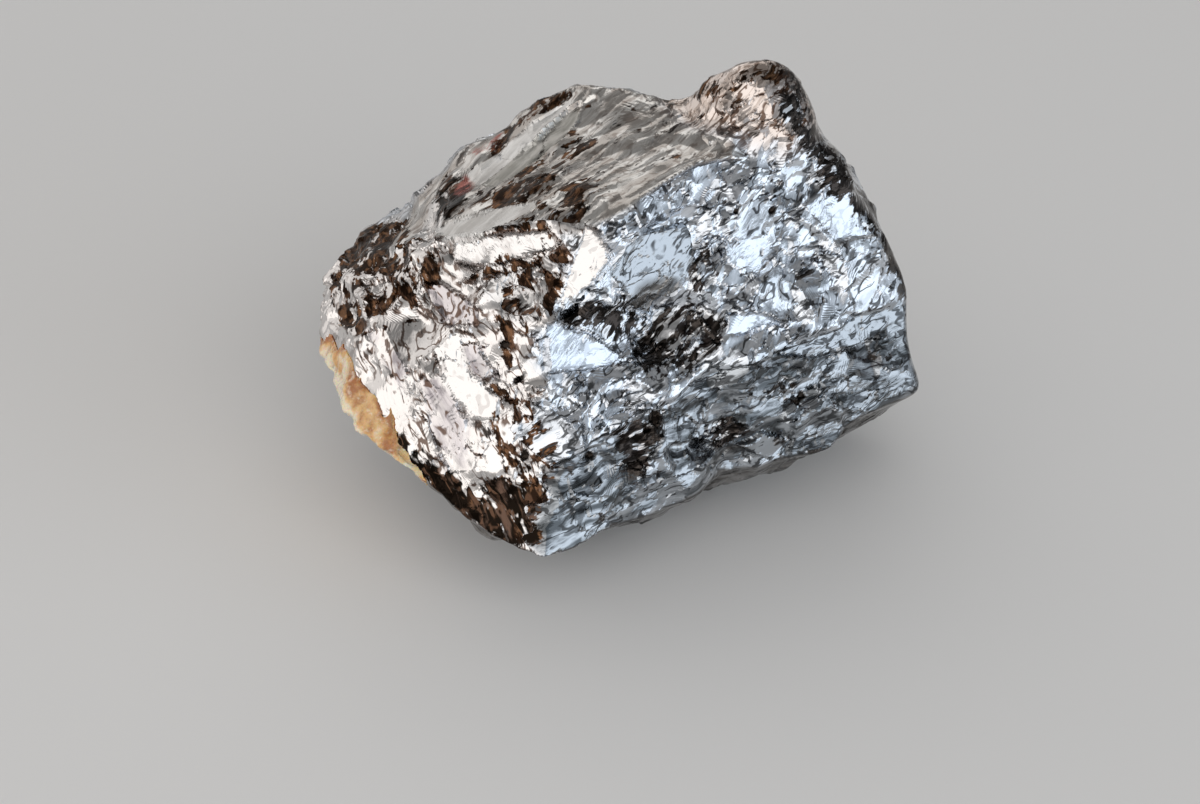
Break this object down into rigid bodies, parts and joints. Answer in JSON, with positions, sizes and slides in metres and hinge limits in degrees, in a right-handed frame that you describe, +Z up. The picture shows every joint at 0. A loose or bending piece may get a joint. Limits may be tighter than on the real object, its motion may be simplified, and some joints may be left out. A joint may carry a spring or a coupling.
{
  "type": "polycrystalline silicon block",
  "caption": "Broken lump of cast polycrystalline silicon with bright shell-shaped fracture faces, resting on a flat facet, with a slag crust on its lower left edge.",
  "frame": {"origin": "centre of the bounding box in X and Y, at the height of the flat facet the lump rests on", "axes": "+Z up; +X along the long front face, from the front tip to the right end; +Y from that face to the rear"},
  "size_m": [0.104, 0.071, 0.07],
  "materials": {
    "silicon": "bright broken silicon, bluish grey, brown in the crevices and over the top",
    "slag": "lumpy ochre slag, slightly translucent"
  },
  "bodies": {
    "root": {"silicon_block": "silicon", "slag_crust": "slag"}
  },
  "joints": []
}
